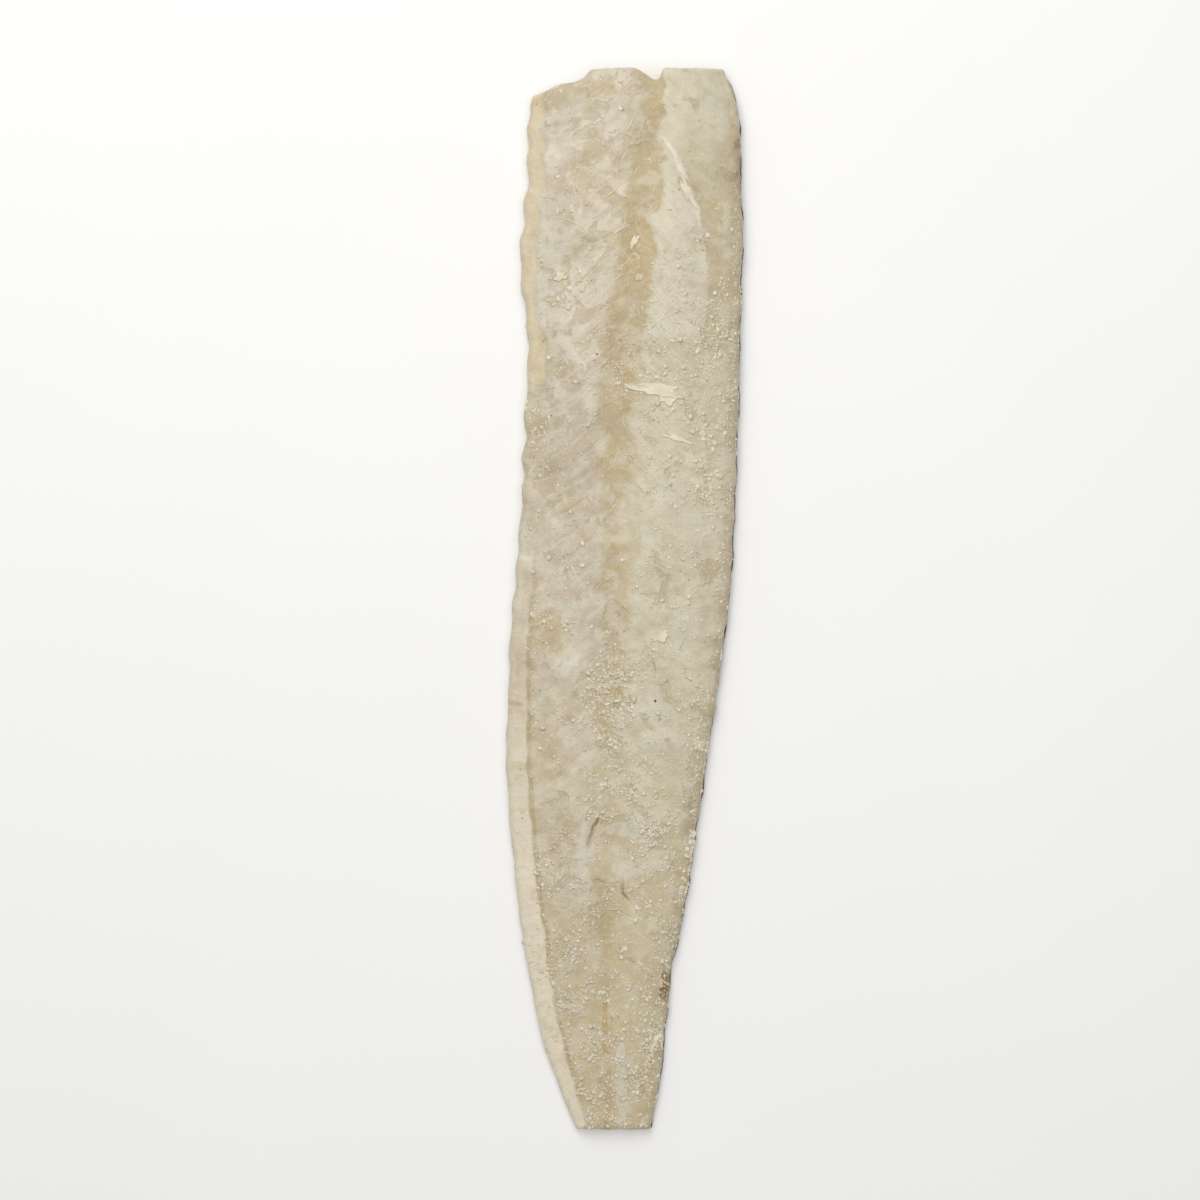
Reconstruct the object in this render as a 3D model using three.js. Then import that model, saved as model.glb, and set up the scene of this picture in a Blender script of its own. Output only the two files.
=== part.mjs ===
// A salt-cured cod fillet, lying flesh side up: one piece of fish, cut across at the shoulder and the tail.
// Millimetres. +X is the fillet's right, +Y runs from the tail to the shoulder, +Z is up.
// The origin is on the surface it lies on, under the middle of its bounding box.
import * as THREE from "three";

// Driving dimensions.
const LENGTH = 450; // tail cut to shoulder cut
const WIDTH = 100; // what the outline's shares below are shares of: about the greatest width
const SHOULDER_THICKNESS = 21; // crown of the loin at the shoulder cut
const TAIL_THICKNESS = 7.5; // crown of the flesh at the tail cut
const SHOULDER_RIM = 8; // height of the side edges at the shoulder
const TAIL_RIM = 4; // height of the side edges at the tail
const SEAM_DEPTH = 2.2; // hollow along the seam, where the backbone was lifted out
const SEAM_WIDTH = 16; // across that hollow
const RIM_ROUND = 3; // how far the upper and lower corners draw in from the widest outline
const NOTCH_DEPTH = 6; // where the seam parts the flesh at the shoulder cut
const CORNER_DROP = 10; // how much shorter the left corner of the shoulder cut is than the right

// The outline seen from above. Station is a share of LENGTH from the tail; the rest are shares of WIDTH.
const OUTLINE = [
  // station, left edge, seam, right edge
  [0.0, -0.202, -0.071, 0.112],
  [0.03, -0.258, -0.078, 0.139],
  [0.1, -0.362, -0.09, 0.176],
  [0.15, -0.405, -0.093, 0.2],
  [0.2, -0.44, -0.09, 0.247],
  [0.28, -0.48, -0.083, 0.302],
  [0.35, -0.497, -0.075, 0.35],
  [0.42, -0.49, -0.063, 0.396],
  [0.5, -0.468, -0.056, 0.444],
  [0.58, -0.436, -0.045, 0.467],
  [0.66, -0.42, -0.02, 0.482],
  [0.74, -0.408, 0.01, 0.489],
  [0.82, -0.436, 0.045, 0.5],
  [0.9, -0.412, 0.09, 0.494],
  [0.95, -0.406, 0.11, 0.488],
  [0.98, -0.395, 0.12, 0.46],
  [1.0, -0.385, 0.124, 0.417],
];

// The shoulder cut. Across is a share of its width from the left; the others say how much of
// CORNER_DROP and of NOTCH_DEPTH the cut falls short there.
const SHOULDER_CUT = [
  // across, corner share, notch share
  [0.0, 1, 0],
  [0.12, 0.65, 0],
  [0.25, 0.2, 0],
  [0.45, 0, 0.45],
  [0.58, 0, 0.65],
  [0.63, 0, 1],
  [0.69, 0, 0.1],
  [1.0, 0, 0],
];

// How finely the surface is divided.
const CELLS_ALONG = 64;
const CELLS_ACROSS = 18;
const CELLS_UP = 4;

const WAIST = 0.45; // height of the widest outline, as a share of the rim
const LOBE_POWER = 2.4; // how flat each lobe stays before it falls to its edge

// A smooth curve through the rows of a table: give it the first column, it returns the others.
function curveThrough(rows) {
  const at = rows.map((row) => row[0]);
  const values = rows.flatMap((row) => row.slice(1));
  const columns = rows[0].length - 1;
  const curve = new THREE.CubicInterpolant(at, values, columns, new Float32Array(columns));
  return (position) => Array.from(curve.evaluate(position));
}

const outlineAt = curveThrough(OUTLINE);
const shoulderCutAt = curveThrough(SHOULDER_CUT);

// How far the walls stand in from the widest outline, at a share of their height: an ellipse on each
// side of the waist.
function drawnIn(up) {
  const reach = up < WAIST ? (WAIST - up) / WAIST : (up - WAIST) / (1 - WAIST);
  return RIM_ROUND * (1 - Math.sqrt(Math.max(0, 1 - reach * reach)));
}

// The height of the flesh: two lobes that crown beside the seam and fall to the side edges.
function heightAt(x, station, left, seam, right) {
  const rise = Math.sin((station * Math.PI) / 2);
  const crown = THREE.MathUtils.lerp(TAIL_THICKNESS, SHOULDER_THICKNESS, rise);
  const rim = THREE.MathUtils.lerp(TAIL_RIM, SHOULDER_RIM, rise);
  const toEdge = x < seam ? (seam - x) / (seam - left) : (x - seam) / (right - seam);
  const fall = Math.min(1, Math.max(0, toEdge)) ** LOBE_POWER;
  const hollow = Math.exp(-(((x - seam) / (SEAM_WIDTH / 2)) ** 2));
  return THREE.MathUtils.lerp(crown, rim, fall) - SEAM_DEPTH * hollow * (rim / SHOULDER_RIM);
}

// Moves one vertex of a block that runs -0.5 to 0.5 each way to its place on the fillet.
function place(block, vertex) {
  const across = block.getX(vertex) + 0.5;
  const along = block.getY(vertex) + 0.5;
  const up = block.getZ(vertex) + 0.5;
  const inset = drawnIn(up);
  const [corner, notch] = shoulderCutAt(across).map((share) => Math.max(0, share));
  const shoulder = LENGTH - CORNER_DROP * corner - NOTCH_DEPTH * notch;
  const y = THREE.MathUtils.lerp(inset, shoulder - inset, along);
  const station = y / LENGTH;
  const [left, seam, right] = outlineAt(station).map((share) => share * WIDTH);
  const x = THREE.MathUtils.lerp(left + inset, right - inset, across);
  block.setXYZ(vertex, x, y, up * heightAt(x, station, left, seam, right));
}

function filletGeometry() {
  const geometry = new THREE.BoxGeometry(1, 1, 1, CELLS_ACROSS, CELLS_ALONG, CELLS_UP);
  const block = geometry.getAttribute("position");
  for (let vertex = 0; vertex < block.count; vertex++) place(block, vertex);
  geometry.computeBoundingBox();
  const middle = geometry.boundingBox.getCenter(new THREE.Vector3());
  geometry.translate(-middle.x, -middle.y, 0);
  geometry.computeVertexNormals();
  return geometry;
}

const curedFlesh = new THREE.MeshStandardMaterial({ color: "#c7bba3", roughness: 0.6, metalness: 0 });

const fillet = new THREE.Mesh(filletGeometry(), curedFlesh);
fillet.name = "cod_fillet";

const saltCod = new THREE.Group();
saltCod.name = "salt_cod";
saltCod.add(fillet);

export default saltCod;
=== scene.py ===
"""A salt-cured cod fillet lying flesh side up: crowned flesh, its skin, torn membrane and curing salt.

Lengths in the arrays are millimetres. +X is the fillet's right, +Y runs from the tail to the shoulder and
+Z is up, with the origin under the middle of the fillet, on the surface it lies on.
"""
import functools
import itertools
import math

import bpy
import numpy as np
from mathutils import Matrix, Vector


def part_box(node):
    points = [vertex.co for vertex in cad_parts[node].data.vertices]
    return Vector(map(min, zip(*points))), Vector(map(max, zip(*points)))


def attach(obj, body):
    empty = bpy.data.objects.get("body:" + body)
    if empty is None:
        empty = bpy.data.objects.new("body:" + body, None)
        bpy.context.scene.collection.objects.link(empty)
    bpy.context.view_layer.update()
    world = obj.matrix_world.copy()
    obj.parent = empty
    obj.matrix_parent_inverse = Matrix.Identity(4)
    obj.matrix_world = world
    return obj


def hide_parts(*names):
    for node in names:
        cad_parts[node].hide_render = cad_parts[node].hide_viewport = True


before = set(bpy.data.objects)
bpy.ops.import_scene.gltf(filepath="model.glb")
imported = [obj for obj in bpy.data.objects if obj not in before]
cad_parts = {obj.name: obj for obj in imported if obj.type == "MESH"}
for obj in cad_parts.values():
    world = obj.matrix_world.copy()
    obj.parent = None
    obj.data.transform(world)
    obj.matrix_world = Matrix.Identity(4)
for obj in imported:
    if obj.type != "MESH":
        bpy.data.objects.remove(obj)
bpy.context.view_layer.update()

MM = 0.001
node_low, node_high = (np.array(corner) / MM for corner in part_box("cod_fillet"))
LENGTH = node_high[1] - node_low[1]
WIDTH = (node_high[0] - node_low[0]) / 0.997  # the outline spans this share of its own unit
MIDDLE_X = (node_high[0] + node_low[0]) / 2 - 0.0015 * WIDTH  # where the outline's zero lies
CROWN = node_high[2]  # the highest point of the flesh

# The fillet's body. Stations are shares of LENGTH from the tail; the other columns are shares of WIDTH.
OUTLINE = np.array([
    # station, left edge, seam, right edge
    [0.00, -0.202, -0.071, 0.112],
    [0.03, -0.258, -0.078, 0.139],
    [0.10, -0.362, -0.090, 0.176],
    [0.15, -0.405, -0.093, 0.200],
    [0.20, -0.440, -0.090, 0.247],
    [0.28, -0.480, -0.083, 0.302],
    [0.35, -0.497, -0.075, 0.350],
    [0.42, -0.490, -0.063, 0.396],
    [0.50, -0.468, -0.056, 0.444],
    [0.58, -0.436, -0.045, 0.467],
    [0.66, -0.420, -0.020, 0.482],
    [0.74, -0.408, 0.010, 0.489],
    [0.82, -0.436, 0.045, 0.500],
    [0.90, -0.412, 0.090, 0.494],
    [0.95, -0.406, 0.110, 0.488],
    [0.98, -0.395, 0.120, 0.460],
    [1.00, -0.385, 0.124, 0.417],
])
# The shoulder cut: across the width from the left, how far it falls short, in millimetres.
SHOULDER_CUT = np.array([
    [0.00, 11.0], [0.03, 9.0], [0.08, 6.4], [0.13, 5.6], [0.185, 4.2], [0.21, 3.2], [0.235, 0.8],
    [0.27, 0.1], [0.42, 0.2], [0.51, 0.6], [0.55, 2.4], [0.585, 4.6], [0.62, 4.4], [0.655, 0.5],
    [0.70, 0.0], [1.00, 0.0],
])
TAIL_THICKNESS = 7.2  # crown of the flesh at the tail cut
SHOULDER_RIM = 8.0  # height of the side edges at the shoulder
TAIL_RIM = 4.0  # height of the side edges at the tail
LOBE_POWER = 2.4  # how flat each lobe stays before it falls to its edge
SEAM_DEPTH = 1.7
SEAM_WIDTH = 20.0
RIM_ROUND = 3.0  # how far the upper and lower corners draw in from the widest outline
WAIST = 0.45  # height of the widest outline, as a share of the edge's height
SKIN_THICKNESS = 0.7
FLAKE_SPACING = 10.0  # from one muscle segment to the next along the fillet

# How finely the flesh and the skin are divided.
FLESH_ALONG = 590
FLESH_ACROSS = 132
WALL_ROWS_ABOVE = 6
WALL_ROWS_BELOW = 3
END_ROWS = 24  # the underside is one face from here to the shoulder cut, which is not straight
UNDER_SKIN = 0.6  # millimetres; how far the flesh below the waist is drawn in, to make room for the skin
SKIN_ALONG = 300
SKIN_ACROSS = 120
SKIN_CURL = 14 / SKIN_ACROSS  # the share of the skin's width that climbs a side


# ---------------------------------------------------------------- camera, floor and light

SEEN_ACROSS = 1.132  # how many fillet lengths the picture is across
EDGE_HEIGHT = 5  # the height at which that holds, in millimetres
CAMERA_X = -0.104  # where the camera stands from the fillet's middle, as a share of WIDTH


def look_down_on_it():
    """A camera straight above, a little to the left of the fillet's middle, its top towards the shoulder."""
    data = bpy.data.cameras.new("overhead")
    data.lens = 85
    data.sensor_width = 36
    camera = bpy.data.objects.new("overhead", data)
    height = SEEN_ACROSS * LENGTH * data.lens / data.sensor_width + EDGE_HEIGHT
    camera.location = (CAMERA_X * WIDTH * MM, 0, height * MM)
    bpy.context.scene.collection.objects.link(camera)
    bpy.context.scene.camera = camera


def softbox(name, place, size, watts, colour):
    """A square area light at a place in metres, facing the fillet."""
    data = bpy.data.lights.new(name, "AREA")
    data.size = size
    data.energy = watts
    data.color = colour
    light = bpy.data.objects.new(name, data)
    light.location = place
    reach = math.hypot(place[0], place[1])
    light.rotation_euler = (0, math.atan2(reach, place[2]), math.atan2(place[1], place[0]))
    bpy.context.scene.collection.objects.link(light)


look_down_on_it()


# ---------------------------------------------------------------- small tools for whole arrays

def eased(value, low, high):
    """Nothing at low, one at high and a smooth S between them: t squared times (3 minus twice t)."""
    t = np.clip((value - low) / (high - low), 0, 1)
    return t * t * (3 - 2 * t)


def mixed(first, second, share):
    """A straight blend from first to second."""
    return first + (second - first) * share


def curve(at, knots, values):
    """A smooth curve through the values at the knots: cubic pieces whose slope at a knot is the mean slope
    there."""
    knots = np.asarray(knots, float)
    values = np.asarray(values, float)
    slopes = np.gradient(values, knots)
    piece = np.clip(np.searchsorted(knots, at) - 1, 0, len(knots) - 2)
    gap = knots[piece + 1] - knots[piece]
    t = np.clip((at - knots[piece]) / gap, 0, 1)
    start = (1 + 2 * t) * (1 - t) ** 2 * values[piece] + t * (1 - t) ** 2 * gap * slopes[piece]
    end = t * t * (3 - 2 * t) * values[piece + 1] + t * t * (t - 1) * gap * slopes[piece + 1]
    return start + end


def lattice(i, j, seed):
    """A repeatable random number from 0 to 1 for each whole (i, j), from the mixed bits of both."""
    bits = i.astype(np.int64) * 374761393 + j.astype(np.int64) * 668265263 + seed * 974634777
    bits = bits & 0x7FFFFFFF
    bits = ((bits ^ (bits >> 13)) * 1274126177) & 0x7FFFFFFF
    return ((bits ^ (bits >> 16)) & 0xFFFFFF) / 0xFFFFFF


def noise(x, y, size, seed):
    """Smooth noise from -1 to 1: random heights on a square lattice of that size, eased from one to the
    next."""
    turn = 0.6 + 1.7 * seed
    u = (x * math.cos(turn) - y * math.sin(turn)) / size
    v = (x * math.sin(turn) + y * math.cos(turn)) / size
    i, j = np.floor(u), np.floor(v)
    across, along = eased(u - i, 0, 1), eased(v - j, 0, 1)
    low = mixed(lattice(i, j, seed), lattice(i + 1, j, seed), across)
    high = mixed(lattice(i, j + 1, seed), lattice(i + 1, j + 1, seed), across)
    return 2 * mixed(low, high, along) - 1


def rough(x, y, size, seed, octaves=4):
    """Noise at a size and at halves of it, each half as strong, kept within about -1 to 1."""
    total = np.zeros(np.broadcast(x, y).shape)
    for octave in range(octaves):
        total = total + noise(x, y, size / 2 ** octave, seed + 7 * octave) / 2 ** octave
    return total / 1.6


def cells(x, y, size, seed):
    """One random point in each square of a lattice: how far the nearest and the next nearest are, in
    squares, and a random number that belongs to the nearest."""
    u, v = x / size, y / size
    i, j = np.floor(u), np.floor(v)
    nearest = np.full(u.shape, 9.0)
    second = np.full(u.shape, 9.0)
    own = np.zeros(u.shape)
    for step in range(9):
        column, row = i + step % 3 - 1, j + step // 3 - 1
        across = column + lattice(column, row, seed) - u
        along = row + lattice(column, row, seed + 1) - v
        far = np.hypot(across, along)
        closer = far < nearest
        second = np.where(closer, nearest, np.minimum(second, far))
        own = np.where(closer, lattice(column, row, seed + 2), own)
        nearest = np.where(closer, far, nearest)
    return nearest, second, own


def beside_line(x, y, points):
    """How far each place is from a line through a few points, and how far along it, from 0 to 1."""
    best = np.full(x.shape, 1e3)
    along = np.zeros(x.shape)
    for count in range(len(points) - 1):
        start, end = np.array(points[count], float), np.array(points[count + 1], float)
        way = end - start
        t = np.clip(((x - start[0]) * way[0] + (y - start[1]) * way[1]) / (way @ way), 0, 1)
        far = np.hypot(x - start[0] - t * way[0], y - start[1] - t * way[1])
        along = np.where(far < best, (count + t) / (len(points) - 1), along)
        best = np.minimum(best, far)
    return best, along


# ---------------------------------------------------------------- the fillet's outline and its relief

def edges_at(y):
    """Left edge, seam and right edge at each y: the outline's smooth curves, with the scalloped left edge
    and the crumbling right edge added as waves and noise of 0.4 to 1 mm."""
    station = np.clip(y / LENGTH + 0.5, 0, 1)
    left, seam, right = (MIDDLE_X + WIDTH * curve(station, OUTLINE[:, 0], OUTLINE[:, n]) for n in (1, 2, 3))
    still = eased(station, 0, 0.03)
    scallop = 0.55 * np.sin(2 * math.pi * (y + 5 * noise(y, 0 * y, 30, 3)) / 17)
    left = left + 5.5 * eased(station, 0.955, 0.99) ** 2
    left = left + still * (scallop * eased(station, 0.3, 0.6) + 0.7 * rough(y, 0 * y + 40, 9, 5))
    right = right + still * (0.6 * rough(y, 0 * y + 90, 7, 6) + 0.35 * rough(y, 0 * y, 2.6, 8, 2))
    return left, seam, right


def regions(x, y):
    """Where each kind of surface lies on the flesh: a dictionary of distances in millimetres and of shares
    from 0 to 1, at each (x, y)."""
    left, seam, right = edges_at(y)
    from_left = x - left
    off_seam = x - seam + 2.5 * noise(y, 0 * y + 9, 42, 13)
    strip, frayed_off, strip_half = seam_strip(x, y, off_seam)
    right_film, film_rim = right_lining(x, y, frayed_off, strip_half)
    bare_right = (1 - right_film) * eased(off_seam, 11, 17) * eased(y, 80, 112) * eased(y, 196, 182)
    return {
        "left": left, "seam": seam, "right": right, "from_left": from_left, "from_right": right - x,
        "off_seam": off_seam, "strip": strip, "right_film": right_film,
        "film_rim": film_rim * eased(off_seam, 4, 9), "bare_right": bare_right,
        **left_borders(x, y, from_left),
    }


def seam_strip(x, y, off_seam):
    """The dark strip along the seam, from 0 to 1, the frayed distance from the seam, and half its width. It
    is frayed by noise, and its right side is softer towards the tail."""
    half = curve(y, [-225, -150, -110, -60, 0, 60, 140, 225], [1.5, 2.2, 3.6, 6.5, 6.5, 7.4, 7.4, 5.0])
    frayed = 3.4 * rough(x, y, 15, 11, 5) + 1.6 * rough(x, y, 5, 12, 3)
    soft = mixed(6.5, 1.4, eased(y, 50, 115))
    frayed = frayed * mixed(1.5, 1.0, eased(y, 50, 115))
    left_side = eased(-off_seam + frayed, half + 5, half - 4)
    right_side = eased(off_seam + frayed, half + soft, half - soft)
    return np.minimum(left_side, right_side), off_seam + frayed, half


def left_borders(x, y, from_left):
    """The yellow trimmed margin up the left edge, the pale band down it with the groove beside that, and the
    tan flesh next to the band."""
    ragged = 1.8 * rough(x, y, 16, 21, 5) + 0.9 * rough(x, y, 3.5, 22, 3)
    margin_width = curve(y, [60, 92, 130, 190, 205, 216], [0.0, 6.8, 6.2, 7.4, 7.2, 5.0])
    margin = eased(from_left + ragged, margin_width + 0.8, margin_width - 0.8) * eased(y, 84, 98)
    band_width = curve(y, [-225, -200, -120, -40, 20, 60], [5.0, 7.2, 8.8, 7.4, 6.5, 6.0])
    from_band = from_left + 0.5 * ragged - band_width
    band = eased(from_band, 0.9, -0.9) * eased(y, 34, 4)
    groove = eased(np.abs(from_band - 1.0), 1.6, 0.2) * eased(y, 32, 6) * eased(y, -222, -200)
    beside_band = eased(from_band, 8, 1) * (1 - band) * eased(y, 30, 0)
    return {"margin": margin, "band": band, "groove": groove, "beside_band": beside_band}


def right_lining(x, y, frayed_off, strip_half):
    """The sheet of lining left on the upper right lobe, and the raised pale rim where it ends."""
    film_edge = curve(y, [96, 120, 148, 166, 180, 190, 199], [31, 35, 34, 30.5, 25, 20, 12])
    inside = film_edge - x + 0.8 * rough(x, y, 4.0, 31, 3)
    film = eased(inside, -0.3, 0.5) * eased(frayed_off, strip_half, strip_half + 2)
    film = film * eased(y, 92, 124) * eased(y, 202, 198)
    rim_width = mixed(1.4, 2.6, eased(y, 150, 175))
    rim = eased(np.abs(inside - 0.8), rim_width, 0.2) * eased(y, 112, 182) * eased(y, 203, 197)
    return film, rim


def peeled(x, y, size, seed, steps):
    """Membrane that peeled off in layers: noise with fine detail is cut at a few levels, like the contours
    of a map. Returns how many layers are left, from 0 to 1, and the thin rims where one ends, broken here
    and there."""
    field = rough(x, y, size, seed, 5)
    layers = np.zeros(x.shape)
    rims = np.zeros(x.shape)
    for number, level in enumerate(steps):
        layers = layers + eased(field, level - 0.022, level + 0.022) / len(steps)
        broken = eased(noise(x, y, 0.7 * size, seed + 3 + number), -0.1, 0.5)
        rims = np.maximum(rims, broken * eased(np.abs(field - level - 0.03), 0.045, 0.008))
    return layers, rims


def fibres(phase, lie, size, seed):
    """Muscle fibres: noise of a size, drawn out five times as long from the seam to the edge along the lines
    of the muscle segments, from -1 to 1."""
    return rough(0.2 * lie["off_seam"], phase * FLAKE_SPACING, size, seed, 3)


def muscle_flakes(x, y, lie):
    """Muscle segments as a row of shingles: the phase runs along the fillet and leans back from the seam,
    each segment swells and then steps down to the next. Returns the swell from 0 to 1 and the pale line at
    the step."""
    out = np.abs(lie["off_seam"])
    lean = curve(out, [0, 6, 24, 34, 46, 60], [0, 3.0, 17.0, 21.0, 19.0, 14.0])
    drift = 2.4 * rough(x, y, 26, 51, 3) + 0.5 * rough(x, y, 5, 52, 2)
    phase = (y + lean + drift) / FLAKE_SPACING
    share = phase - np.floor(phase)
    swell = np.sin(math.pi * np.clip(share / 0.92, 0, 1)) ** 0.7 * (0.55 + 0.45 * share)
    line = eased(np.minimum(share, 1 - share), 0.13, 0.0)
    return swell, line, phase


def salt_cover(x, y, lie):
    """How thickly salt lies, from 0 to 1: named patches as soft ellipses, a crumbed right edge, and
    noise."""
    cover = np.zeros(x.shape)
    for centre_x, centre_y, half_width, half_length, most in SALT_PATCHES:
        far = ((x - centre_x) / half_width) ** 2 + ((y - centre_y) / half_length) ** 2
        cover = np.maximum(cover, most * np.exp(-1.2 * far ** 1.5))
    edge = 0.6 * eased(lie["from_right"], 8, 1) * eased(y, 190, 150)
    right_lobe = 0.26 * eased(lie["off_seam"], 2, 12) * eased(y, 185, 120)
    left_lobe = 0.22 * eased(-lie["off_seam"], 2, 12) * (0.4 + 0.6 * eased(y, 150, 60))
    left_lobe = np.maximum(left_lobe, 0.4 * eased(y, -60, -120))
    cover = np.maximum.reduce([cover, edge, right_lobe, left_lobe])
    uneven = 0.35 + 0.65 * eased(rough(x, y, 13, 61), -0.4, 0.5) + 0.6 * rough(x, y, 4, 62, 3)
    bare = 1 - 0.8 * np.maximum(lie["margin"], 0.8 * lie["band"])
    return np.clip(cover * uneven * bare, 0, 1)


SALT_PATCHES = [
    # x, y, half width, half length, how thick
    (-4, -45, 15, 30, 0.7),
    (-6, -85, 14, 24, 0.75),
    (15, -94, 12, 13, 0.85),
    (28, -112, 6, 17, 1.0),
    (13, -188, 7, 8, 0.95),
    (-8, -125, 12, 22, 0.45),
    (18, -140, 14, 26, 0.5),
    (-26, 128, 12, 16, 0.4),
    (38, 118, 7, 32, 0.5),
    (36, 52, 9, 22, 0.55),
    (-34, 62, 8, 16, 0.55),
    (-2, 98, 8, 12, 0.4),
    (24, 20, 12, 16, 0.35),
    (30, -40, 8, 30, 0.45),
    (-10, -165, 10, 20, 0.35),
]
CUTS = [
    # Knife nicks and splits in the flesh: points along it, half its width, its depth.
    ([(-9.6, -90.5), (-12.6, -95.2), (-14.6, -99.8), (-15.7, -106.4)], 0.75, 1.3),
    ([(-0.8, -117.5), (-0.8, -124.0), (2.3, -127.5)], 0.6, 0.9),
    ([(12.2, -25.3), (13.8, -30.4)], 0.6, 0.8),
    ([(-20.5, 152.5), (-14, 150.2), (-7, 152.0)], 0.7, 0.5),
    ([(-14.8, -203.0), (-14.1, -213.0), (-13.6, -224.5)], 0.5, 0.3),
]


def cut_lines(x, y):
    """The nicks' depth in millimetres at each place, and how deep in a nick it is from 0 to 1, which sets the
    painted shade in it.
    """
    depth = np.zeros(x.shape)
    shade = np.zeros(x.shape)
    for points, half_width, deepest in CUTS:
        far, along = beside_line(x + 0.5 * noise(x, y, 2.5, 71), y, points)
        fading = np.sin(math.pi * np.clip(along, 0.06, 0.94)) ** 0.5
        open_here = eased(far, half_width * 1.5, half_width * 0.3) * fading
        depth = np.maximum(depth, deepest * open_here)
        shade = np.maximum(shade, open_here * min(1, deepest))
    return depth, shade


def smooth_height(x, y, lie):
    """The flesh without its relief: two lobes that crown beside the seam and fall to the side edges by a
    power of the way out, with a bell-shaped hollow along the seam."""
    rise = np.sin(np.clip(y / LENGTH + 0.5, 0, 1) * math.pi / 2)
    crown = mixed(TAIL_THICKNESS, CROWN + 0.2, rise)
    rim = mixed(TAIL_RIM, SHOULDER_RIM, rise)
    off = x - lie["seam"]
    out = np.where(off < 0, -off / (lie["seam"] - lie["left"]), off / (lie["right"] - lie["seam"]))
    fall = np.clip(out, 0, 1) ** LOBE_POWER
    hollow = np.exp(-((off / (SEAM_WIDTH / 2)) ** 2))
    return mixed(crown, rim, fall) - SEAM_DEPTH * hollow * rim / SHOULDER_RIM


def torn_lining(x, y, left_top):
    """Membrane: wide torn layers on the upper left lobe, smaller leftovers everywhere else, and their
    rims."""
    wide, wide_rims = peeled(x * 0.8, y, 30, 41, (-0.28, -0.05, 0.20))
    small, small_rims = peeled(x, y * 0.85, 12, 141, (-0.05, 0.28))
    return mixed(0.5 * small, wide, left_top), mixed(0.5 * small_rims, wide_rims, left_top)


def crumbled(x, y):
    """Round crumbs in cells of 2.3 mm, each as high as a draw of its own, and broken lumps of about 4 mm."""
    near, _, own = cells(x + 0.7 * noise(x, y, 3, 82), y, 2.3, 83)
    crumbs = np.clip(1 - near / 0.62, 0, 1) ** 0.6 * (0.35 + own)
    broken, next_broken, own_broken = cells(x + 1.6 * rough(x, y, 5, 84, 2), y * 0.75, 4.2, 85)
    return crumbs, own_broken * eased(next_broken - broken, 0.02, 0.25)


def flesh_relief(x, y, lie):
    """What stands up from or sinks into the smooth flesh, in millimetres, and the marks that its colour
    follows. It is the sum of the named layers below, each a small height times where it lies."""
    swell, line, phase = muscle_flakes(x, y, lie)
    depth, shade = cut_lines(x, y)
    salt = salt_cover(x, y, lie)
    strip, off = lie["strip"], lie["off_seam"]
    trimmed = np.maximum(lie["margin"], lie["band"])
    calm = 1 - 0.85 * trimmed
    left_top = eased(y, 60, 110) * eased(-off, 2, 9) * (1 - lie["margin"])

    lining, rims = torn_lining(x, y, left_top)
    lining, rims = lining * calm, rims * calm * (1 - 0.5 * strip)
    flaky = (1 - np.maximum(strip, trimmed)) * (0.35 + 0.65 * eased(noise(x, y, 34, 81), -0.4, 0.4))
    flaky = flaky * (1 - 0.5 * salt) * (0.55 + 0.45 * eased(-off, -6, 6)) * eased(y, -200, -120)
    loose = fibres(phase, lie, 2.6, 131) * (1 - strip) * calm * eased(y, -190, -80)
    crumbs, lumps = crumbled(x, y)
    crumbs = crumbs * salt

    height = 0.5 * flaky * (swell - 0.5) + 0.16 * loose
    height = height + 0.55 * (lining - 0.4 * calm) + 0.2 * rims
    height = height + 0.4 * lie["right_film"] + 0.4 * lie["film_rim"]
    height = height - strip * (0.3 - 0.45 * lumps)
    height = height - 1.2 * lie["margin"] - 0.12 * lie["band"] - 0.22 * lie["groove"]
    height = height + 0.4 * crumbs
    height = height + calm * (0.5 * rough(x, y, 24, 91, 3) + 0.2 * rough(x, y, 6.5, 92, 4))
    height = height + calm * 0.1 * rough(x, y, 2.2, 93, 2) - depth

    # How far each place stands proud; the flesh's colour follows it as painted light and shade, and nicks
    # count as low.
    proud = 0.8 * crumbs + 0.5 * rims + 0.6 * (lining - 0.4 * calm) + 0.6 * loose
    proud = proud + 0.4 * flaky * (swell - 0.55) + 0.4 * strip * (lumps - 0.4) + 0.4 * rough(x, y, 6.5, 92, 4)
    marks = {
        "salt_crust": salt, "flake_lines": line * flaky, "lining": lining * (1 - 0.55 * strip),
        "rims": rims, "nick": shade, "proud": np.clip(0.5 + 0.4 * (proud - 1.2 * shade), 0, 1),
        "peeling": np.clip(0.45 + 0.55 * left_top + 0.3 * strip, 0, 1) * (1 - trimmed),
    }
    way = np.stack([0.2 * off, phase * FLAKE_SPACING, 0 * off], axis=1) * MM
    return height, marks, way


def surface_height(x, y):
    """The height of the flesh anywhere inside its outline, with its rounded rim: within RIM_ROUND of a side
    the height follows a quarter ellipse down to the waist."""
    lie = regions(x, y)
    relief, _, _ = flesh_relief(x, y, lie)
    full = smooth_height(x, y, lie) + relief
    inward = np.clip(np.minimum(lie["from_left"], lie["from_right"]) / RIM_ROUND, 0, 1)
    round_off = WAIST + (1 - WAIST) * np.sqrt(1 - (1 - inward) ** 2)
    return full * round_off


# ---------------------------------------------------------------- meshes from arrays

def make_piece(name, points, faces, material, smooth=True):
    """Puts points in millimetres and one or more face arrays into a new object that rides on the root."""
    mesh = bpy.data.meshes.new(name)
    face_lists = [face for block in faces for face in np.asarray(block).tolist()]
    mesh.from_pydata((points * MM).tolist(), [], face_lists)
    mesh.polygons.foreach_set("use_smooth", np.full(len(mesh.polygons), smooth))
    mesh.update()
    piece = bpy.data.objects.new(name, mesh)
    bpy.context.scene.collection.objects.link(piece)
    mesh.materials.append(material)
    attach(piece, "root")
    return piece


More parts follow.
